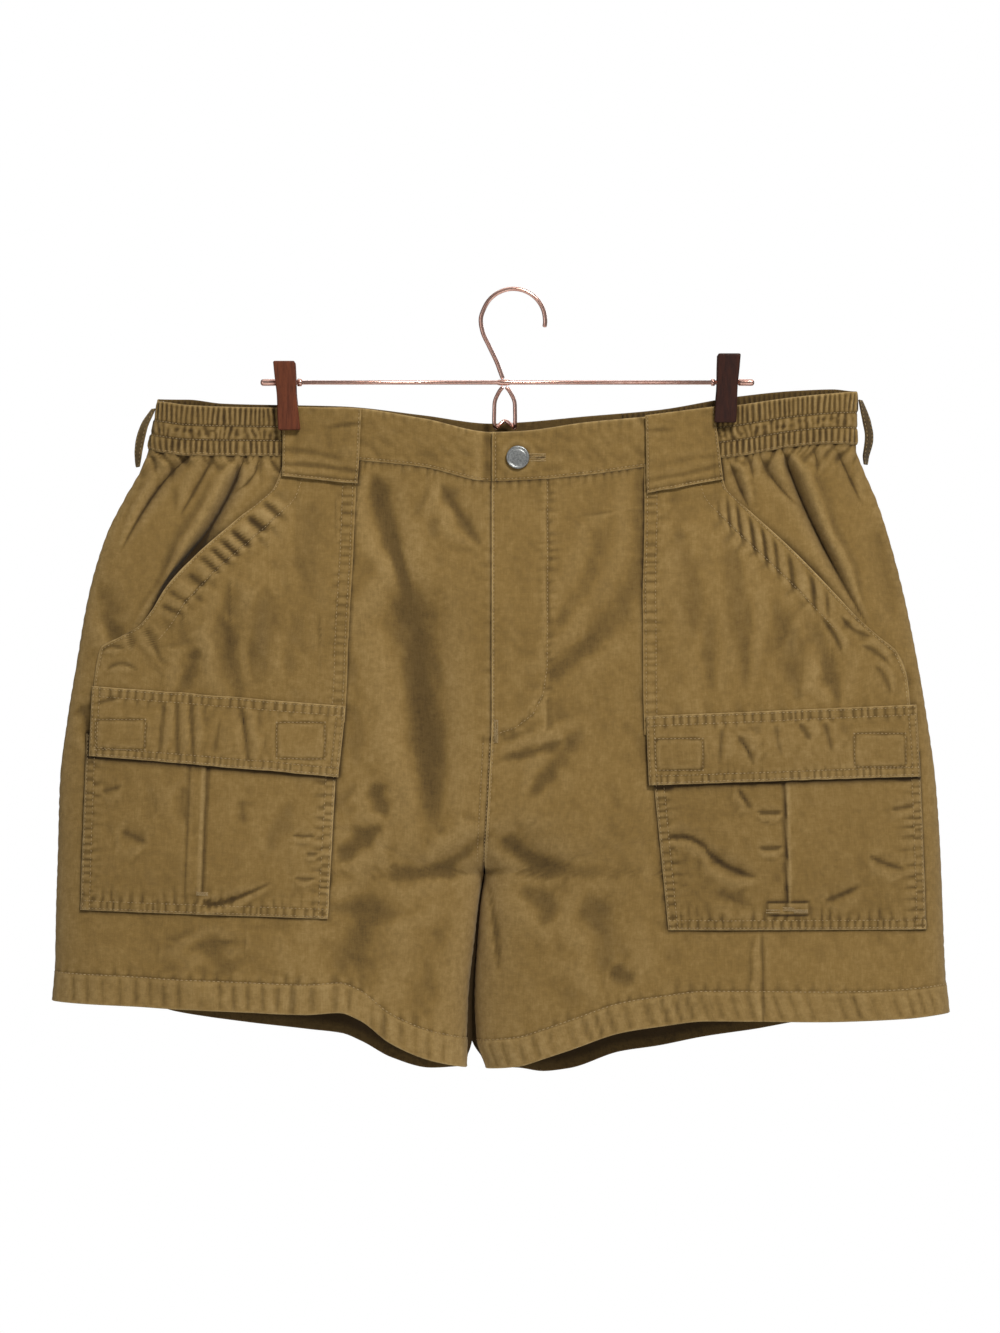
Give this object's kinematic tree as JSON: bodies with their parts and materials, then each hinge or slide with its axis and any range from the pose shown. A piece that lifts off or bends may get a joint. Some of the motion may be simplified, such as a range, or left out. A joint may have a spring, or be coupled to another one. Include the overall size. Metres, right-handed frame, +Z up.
{
  "type": "cargo shorts on a wire clip hanger",
  "caption": "Khaki twill cargo shorts with elasticated waist sides, slanted patch hip pockets and flapped cargo pockets, clipped to a copper wire hanger.",
  "frame": {"origin": "inside of the hanger hook's crown, where a rail holds it", "axes": "+Z up, the front of the shorts faces -Y, left as seen from the front is -X"},
  "size_m": [0.7175, 0.0929, 0.6283],
  "materials": {
    "khaki_twill": "washed cotton twill, matt",
    "zip_tape": "woven tape, matt",
    "antique_silver": "antique silver",
    "copper_wire": "polished copper plate",
    "red_brown_wood": "satin, stained",
    "dark_brown_wood": "satin, stained"
  },
  "bodies": {
    "root": {"front_panel_left": "khaki_twill", "front_panel_right": "khaki_twill", "back_panel_left": "khaki_twill", "back_panel_right": "khaki_twill", "hip_patch_left": "khaki_twill", "hip_patch_right": "khaki_twill", "cargo_pocket_left": "khaki_twill", "cargo_pocket_right": "khaki_twill", "cargo_flap_left": "khaki_twill", "cargo_flap_right": "khaki_twill", "waistband_side_left": "khaki_twill", "waistband_side_right": "khaki_twill", "wide_tab_left": "khaki_twill", "wide_tab_right": "khaki_twill", "side_loop_left": "khaki_twill", "side_loop_right": "khaki_twill", "waistband_front_left": "khaki_twill", "waistband_front_right": "khaki_twill", "waistband_back": "khaki_twill", "fly_zip": "zip_tape", "waist_button": "antique_silver", "hanger_hook": "copper_wire", "hanger_loop": "copper_wire", "hanger_bar": "copper_wire", "clip_spring_left": "copper_wire", "clip_spring_right": "copper_wire", "clip_face_left": "red_brown_wood", "clip_back_left": "red_brown_wood", "clip_face_right": "dark_brown_wood", "clip_back_right": "dark_brown_wood"}
  },
  "joints": []
}
